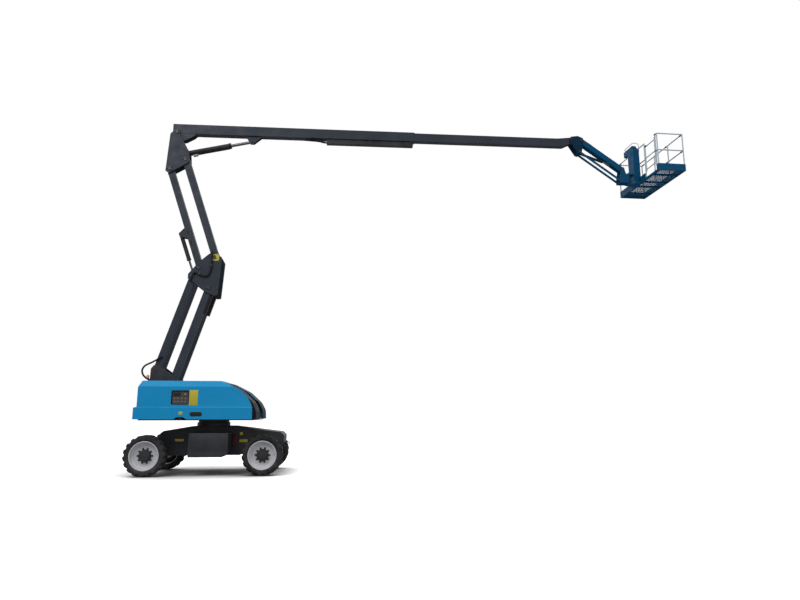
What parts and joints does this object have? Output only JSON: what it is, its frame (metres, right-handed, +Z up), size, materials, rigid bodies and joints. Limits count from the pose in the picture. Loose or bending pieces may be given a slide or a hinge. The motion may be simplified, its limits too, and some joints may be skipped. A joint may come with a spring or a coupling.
{
  "type": "articulating boom lift",
  "caption": "Wheeled articulating boom lift with a slewing turntable, folding riser, telescopic boom, jib and a railed work platform that stays level.",
  "frame": {"origin": "on the ground under the middle of the machine's whole length and width", "axes": "+X towards the platform along the boom, +Y across the machine, +Z up"},
  "size_m": [15.4026, 2.44, 10.0935],
  "materials": {
    "black_paint": "satin paint",
    "bearing_steel": "dull machined",
    "tyre_rubber": "matt rubber",
    "rim_paint": "light grey paint",
    "cast_weight": "rough painted casting",
    "control_plastic": "moulded",
    "amber_lens": "clear amber",
    "blue_hood": "gloss gel coat",
    "boom_paint": "satin paint",
    "cylinder_paint": "satin paint",
    "rod_chrome": "polished",
    "tray_black": "moulded",
    "platform_paint": "gloss paint",
    "rail_paint": "light grey paint"
  },
  "bodies": {
    "chassis": {"chassis_frame": "black_paint", "slew_bearing": "bearing_steel", "side_boxes": "black_paint", "fixed_axle": "black_paint", "steer_axle": "black_paint"},
    "steer_hub_near": {"steer_knuckle_near": "black_paint"},
    "steer_hub_far": {"steer_knuckle_far": "black_paint"},
    "wheel_front_near": {"tyre_front_near": "tyre_rubber", "rim_front_near": "rim_paint"},
    "wheel_front_far": {"tyre_front_far": "tyre_rubber", "rim_front_far": "rim_paint"},
    "wheel_rear_near": {"tyre_rear_near": "tyre_rubber", "rim_rear_near": "rim_paint"},
    "wheel_rear_far": {"tyre_rear_far": "tyre_rubber", "rim_rear_far": "rim_paint"},
    "turntable": {"turntable_frame": "black_paint", "counterweight": "cast_weight", "battery_packs": "cast_weight", "ground_control": "control_plastic", "beacon": "amber_lens"},
    "hood_near": {"hood_near": "blue_hood"},
    "hood_far": {"hood_far": "blue_hood"},
    "lower_arm": {"lower_arm": "boom_paint"},
    "lower_link": {"lower_link": "boom_paint"},
    "knuckle": {"riser_knuckle": "boom_paint"},
    "upper_arm": {"upper_arm": "boom_paint"},
    "upper_link": {"upper_link": "boom_paint"},
    "upright": {"boom_upright": "boom_paint"},
    "riser_barrel": {"riser_barrel": "cylinder_paint"},
    "riser_rod": {"riser_rod": "rod_chrome"},
    "main_boom": {"main_boom": "boom_paint", "hose_tray": "tray_black"},
    "fly": {"fly_boom": "boom_paint"},
    "boom_barrel": {"boom_barrel": "boom_paint"},
    "boom_rod": {"boom_rod": "rod_chrome"},
    "jib_bracket": {"jib_bracket": "platform_paint"},
    "jib_arm": {"jib_arm": "platform_paint"},
    "jib_link": {"jib_link": "platform_paint"},
    "jib_barrel": {"jib_barrel": "cylinder_paint"},
    "jib_rod": {"jib_rod": "rod_chrome"},
    "platform_support": {"platform_support": "platform_paint"},
    "platform": {"platform_floor": "platform_paint", "toe_boards": "platform_paint", "guard_rails": "rail_paint", "console": "control_plastic"},
    "gate": {"gate": "rail_paint"}
  },
  "joints": [
    {"name": "slew", "type": "hinge", "parent": "chassis", "child": "turntable", "pos_m": [-5.75883, 0, 1.37], "axis": [0, 0, 1], "continuous": true},
    {"name": "steer_near", "type": "hinge", "parent": "chassis", "child": "steer_hub_near", "pos_m": [-7.19383, -0.69, 0.5075], "axis": [0, 0, 1], "range_deg": [-35, 35]},
    {"name": "steer_far", "type": "hinge", "parent": "chassis", "child": "steer_hub_far", "pos_m": [-7.19383, 0.69, 0.5075], "axis": [0, 0, 1], "range_deg": [-35.5, 35.5]},
    {"name": "wheel_front_near", "type": "hinge", "parent": "steer_hub_near", "child": "wheel_front_near", "pos_m": [-7.19383, -1.0225, 0.5075], "axis": [0, 1, 0], "continuous": true},
    {"name": "wheel_front_far", "type": "hinge", "parent": "steer_hub_far", "child": "wheel_front_far", "pos_m": [-7.19383, 1.0225, 0.5075], "axis": [0, 1, 0], "continuous": true},
    {"name": "wheel_rear_near", "type": "hinge", "parent": "chassis", "child": "wheel_rear_near", "pos_m": [-4.32383, -1.0225, 0.5075], "axis": [0, 1, 0], "continuous": true},
    {"name": "wheel_rear_far", "type": "hinge", "parent": "chassis", "child": "wheel_rear_far", "pos_m": [-4.32383, 1.0225, 0.5075], "axis": [0, 1, 0], "continuous": true},
    {"name": "hood_near_lift", "type": "hinge", "parent": "turntable", "child": "hood_near", "pos_m": [-5.75883, -0.342, 2.36], "axis": [-1, 0, 0], "range_deg": [0, 75]},
    {"name": "hood_far_lift", "type": "hinge", "parent": "turntable", "child": "hood_far", "pos_m": [-5.75883, 0.342, 2.36], "axis": [1, 0, 0], "range_deg": [0, 75]},
    {"name": "riser_lift", "type": "hinge", "parent": "turntable", "child": "lower_arm", "pos_m": [-6.84183, 0, 2.371], "axis": [0, -1, 0], "range_deg": [-84, 0]},
    {"name": "lower_link_turn", "type": "hinge", "parent": "turntable", "child": "lower_link", "pos_m": [-7.29183, 0, 2.681], "axis": [0, -1, 0], "range_deg": [-84.5, 0.5]},
    {"name": "knuckle_level", "type": "hinge", "parent": "lower_arm", "child": "knuckle", "pos_m": [-6.05243, 0, 4.95302], "axis": [0, -1, 0], "range_deg": [-0.5, 84.5]},
    {"name": "upper_arm_turn", "type": "hinge", "parent": "knuckle", "child": "upper_arm", "pos_m": [-5.93343, 0, 5.81502], "axis": [0, -1, 0], "range_deg": [-0.5, 84.5]},
    {"name": "upper_link_turn", "type": "hinge", "parent": "knuckle", "child": "upper_link", "pos_m": [-6.34843, 0, 5.51002], "axis": [0, -1, 0], "range_deg": [-0.5, 84.5]},
    {"name": "upright_level", "type": "hinge", "parent": "upper_arm", "child": "upright", "pos_m": [-6.94269, 0, 8.74613], "axis": [0, -1, 0], "range_deg": [-84.5, 0.5]},
    {"name": "riser_barrel_turn", "type": "hinge", "parent": "upper_link", "child": "riser_barrel", "pos_m": [-6.94786, 0, 6.51988], "axis": [0, -1, 0], "range_deg": [-0.5, 1.73]},
    {"name": "riser_rod_slide", "type": "slide", "parent": "riser_barrel", "child": "riser_rod", "axis": [0.334, 0, -0.9426], "range_m": [-0.394, 0.005]},
    {"name": "boom_lift", "type": "hinge", "parent": "upright", "child": "main_boom", "pos_m": [-7.22769, 0, 9.58113], "axis": [0, -1, 0], "range_deg": [-0.8, 73.2]},
    {"name": "boom_barrel_turn", "type": "hinge", "parent": "upright", "child": "boom_barrel", "pos_m": [-6.93769, 0, 8.98113], "axis": [0, -1, 0], "range_deg": [-1.22, 66.55]},
    {"name": "boom_rod_slide", "type": "slide", "parent": "boom_barrel", "child": "boom_rod", "axis": [0.9702, 0, 0.2423], "range_m": [-0.013, 0.75]},
    {"name": "fly_extend", "type": "slide", "parent": "main_boom", "child": "fly", "axis": [0.9999, 0, 0.014], "range_m": [-4.5, 0]},
    {"name": "boom_head_level", "type": "hinge", "parent": "fly", "child": "jib_bracket", "pos_m": [4.68787, 0, 9.98154], "axis": [0, -1, 0], "range_deg": [-73.7, 1.3]},
    {"name": "jib_lift", "type": "hinge", "parent": "jib_bracket", "child": "jib_arm", "pos_m": [4.99387, 0, 9.96554], "axis": [0, -1, 0], "range_deg": [-30, 95]},
    {"name": "jib_link_turn", "type": "hinge", "parent": "jib_bracket", "child": "jib_link", "pos_m": [4.93387, 0, 9.57554], "axis": [0, -1, 0], "range_deg": [-30.5, 95.5]},
    {"name": "jib_barrel_turn", "type": "hinge", "parent": "jib_bracket", "child": "jib_barrel", "pos_m": [4.93387, 0, 9.57554], "axis": [0, -1, 0], "range_deg": [-27.3, 85.38]},
    {"name": "jib_rod_slide", "type": "slide", "parent": "jib_barrel", "child": "jib_rod", "axis": [0.9455, 0, -0.3257], "range_m": [-0.166, 0.516]},
    {"name": "platform_level", "type": "hinge", "parent": "jib_arm", "child": "platform_support", "pos_m": [6.29637, 0, 9.05355], "axis": [0, -1, 0], "range_deg": [-95.5, 30.5]},
    {"name": "platform_turn", "type": "hinge", "parent": "platform_support", "child": "platform", "pos_m": [6.49637, 0, 8.67355], "axis": [0, 0, 1], "range_deg": [-90, 90]},
    {"name": "gate_swing", "type": "hinge", "parent": "platform", "child": "gate", "pos_m": [6.87437, -1.057, 8.67355], "axis": [0, 0, -1], "range_deg": [0, 90]}
  ],
  "couplings": [
    {"joint": "steer_far", "follows": "steer_near", "ratio": 1},
    {"joint": "lower_link_turn", "follows": "riser_lift", "ratio": 1},
    {"joint": "knuckle_level", "follows": "riser_lift", "ratio": -1},
    {"joint": "upper_arm_turn", "follows": "riser_lift", "ratio": -1},
    {"joint": "upper_link_turn", "follows": "riser_lift", "ratio": -1},
    {"joint": "upright_level", "follows": "riser_lift", "ratio": 1},
    {"joint": "riser_barrel_turn", "follows": "riser_lift", "ratio": -0.01469},
    {"joint": "riser_rod_slide", "follows": "riser_lift", "m_per_rad": 0.26525},
    {"joint": "boom_barrel_turn", "follows": "boom_lift", "ratio": 0.90236},
    {"joint": "boom_rod_slide", "follows": "boom_lift", "m_per_rad": 0.58288},
    {"joint": "boom_head_level", "follows": "boom_lift", "ratio": -1},
    {"joint": "jib_link_turn", "follows": "jib_lift", "ratio": 1},
    {"joint": "jib_barrel_turn", "follows": "jib_lift", "ratio": 0.89343},
    {"joint": "jib_rod_slide", "follows": "jib_lift", "m_per_rad": 0.30841},
    {"joint": "platform_level", "follows": "jib_lift", "ratio": -1}
  ]
}
